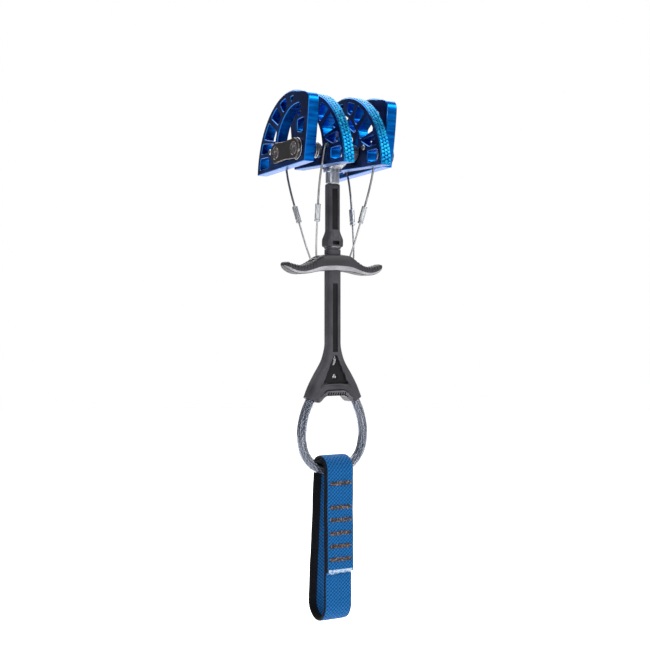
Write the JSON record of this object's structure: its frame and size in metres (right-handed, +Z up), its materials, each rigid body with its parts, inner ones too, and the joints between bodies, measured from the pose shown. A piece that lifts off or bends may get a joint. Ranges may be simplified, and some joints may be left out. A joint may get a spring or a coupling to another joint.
{
  "type": "spring loaded camming device",
  "caption": "Double-axle spring loaded camming device: toothed cam lobes on a single stem, sliding trigger with pull wires, cable thumb loop and sewn sling.",
  "frame": {"origin": "midway between the two axles, on the axis of the stem", "axes": "+Z up the stem towards the cam head, +X along the axles to the right end plate, +Y towards the rear axle"},
  "size_m": [0.074, 0.0886, 0.3378],
  "materials": {
    "anodised_blue": "satin blue anodising, bare machined edges lighter",
    "steel": "satin",
    "bright_steel": "satin",
    "spring_steel": "satin",
    "black_metal": "satin black",
    "black_plastic": "fine grain",
    "grey_plastic": "ribbed",
    "clear_sheath": "clear",
    "blue_webbing": "diagonal weave"
  },
  "bodies": {
    "stem": {"stem_terminal": "steel", "front_axle": "steel", "rear_axle": "steel", "left_end_plate": "black_metal", "right_end_plate": "black_metal", "left_washer": "bright_steel", "right_washer": "bright_steel", "left_centre_spacer": "steel", "right_centre_spacer": "steel", "left_outer_spacer": "steel", "right_outer_spacer": "steel", "stem_cable": "steel", "upper_sleeve": "black_plastic", "lower_sleeve": "black_plastic", "thumb_rest": "grey_plastic", "thumb_loop_cable": "steel", "loop_sheath": "clear_sheath"},
    "trigger": {"trigger": "black_plastic"},
    "left_inner_lobe": {"left_inner_lobe": "anodised_blue", "left_inner_bead": "bright_steel", "left_inner_spring": "spring_steel"},
    "left_inner_wire": {"left_inner_lower_cable": "bright_steel", "left_inner_ferrule": "bright_steel", "left_inner_upper_wire": "steel"},
    "left_outer_lobe": {"left_outer_lobe": "anodised_blue", "left_outer_bead": "bright_steel", "left_outer_spring": "spring_steel"},
    "left_outer_wire": {"left_outer_lower_cable": "bright_steel", "left_outer_ferrule": "bright_steel", "left_outer_upper_wire": "steel"},
    "right_inner_lobe": {"right_inner_lobe": "anodised_blue", "right_inner_bead": "bright_steel", "right_inner_spring": "spring_steel"},
    "right_inner_wire": {"right_inner_lower_cable": "bright_steel", "right_inner_ferrule": "bright_steel", "right_inner_upper_wire": "steel"},
    "right_outer_lobe": {"right_outer_lobe": "anodised_blue", "right_outer_bead": "bright_steel", "right_outer_spring": "spring_steel"},
    "right_outer_wire": {"right_outer_lower_cable": "bright_steel", "right_outer_ferrule": "bright_steel", "right_outer_upper_wire": "steel"},
    "sling": {"sling": "blue_webbing"}
  },
  "joints": [
    {"name": "trigger_slide", "type": "slide", "parent": "stem", "child": "trigger", "axis": [0, 0, -1], "range_m": [0, 0.04129], "stiffness_N_per_m": 400, "springref_m": -0.02},
    {"name": "left_inner_lobe_swing", "type": "hinge", "parent": "stem", "child": "left_inner_lobe", "pos_m": [0, 0.0122, 0], "axis": [1, 0, 0], "range_deg": [0, 90]},
    {"name": "left_inner_wire_lean", "type": "hinge", "parent": "trigger", "child": "left_inner_wire", "pos_m": [0, 0, -0.0685], "axis": [-1, 0, 0], "range_deg": [0, 26.25]},
    {"name": "left_outer_lobe_swing", "type": "hinge", "parent": "stem", "child": "left_outer_lobe", "pos_m": [0, -0.0122, 0], "axis": [-1, 0, 0], "range_deg": [0, 90]},
    {"name": "left_outer_wire_lean", "type": "hinge", "parent": "trigger", "child": "left_outer_wire", "pos_m": [0, 0, -0.0685], "axis": [1, 0, 0], "range_deg": [0, 26.25]},
    {"name": "right_inner_lobe_swing", "type": "hinge", "parent": "stem", "child": "right_inner_lobe", "pos_m": [0, 0.0122, 0], "axis": [1, 0, 0], "range_deg": [0, 90]},
    {"name": "right_inner_wire_lean", "type": "hinge", "parent": "trigger", "child": "right_inner_wire", "pos_m": [0, 0, -0.0685], "axis": [-1, 0, 0], "range_deg": [0, 26.25]},
    {"name": "right_outer_lobe_swing", "type": "hinge", "parent": "stem", "child": "right_outer_lobe", "pos_m": [0, -0.0122, 0], "axis": [-1, 0, 0], "range_deg": [0, 90]},
    {"name": "right_outer_wire_lean", "type": "hinge", "parent": "trigger", "child": "right_outer_wire", "pos_m": [0, 0, -0.0685], "axis": [1, 0, 0], "range_deg": [0, 26.25]},
    {"name": "sling_swing", "type": "hinge", "parent": "stem", "child": "sling", "pos_m": [0, 0, -0.2034], "axis": [1, 0, 0], "range_deg": [-90, 90]}
  ],
  "couplings": [
    {"joint": "left_inner_lobe_swing", "follows": "trigger_slide", "rad_per_m": 38.043},
    {"joint": "left_inner_wire_lean", "follows": "trigger_slide", "rad_per_m": 11.091},
    {"joint": "left_outer_lobe_swing", "follows": "trigger_slide", "rad_per_m": 38.043},
    {"joint": "left_outer_wire_lean", "follows": "trigger_slide", "rad_per_m": 11.091},
    {"joint": "right_inner_lobe_swing", "follows": "trigger_slide", "rad_per_m": 38.043},
    {"joint": "right_inner_wire_lean", "follows": "trigger_slide", "rad_per_m": 11.091},
    {"joint": "right_outer_lobe_swing", "follows": "trigger_slide", "rad_per_m": 38.043},
    {"joint": "right_outer_wire_lean", "follows": "trigger_slide", "rad_per_m": 11.091}
  ]
}
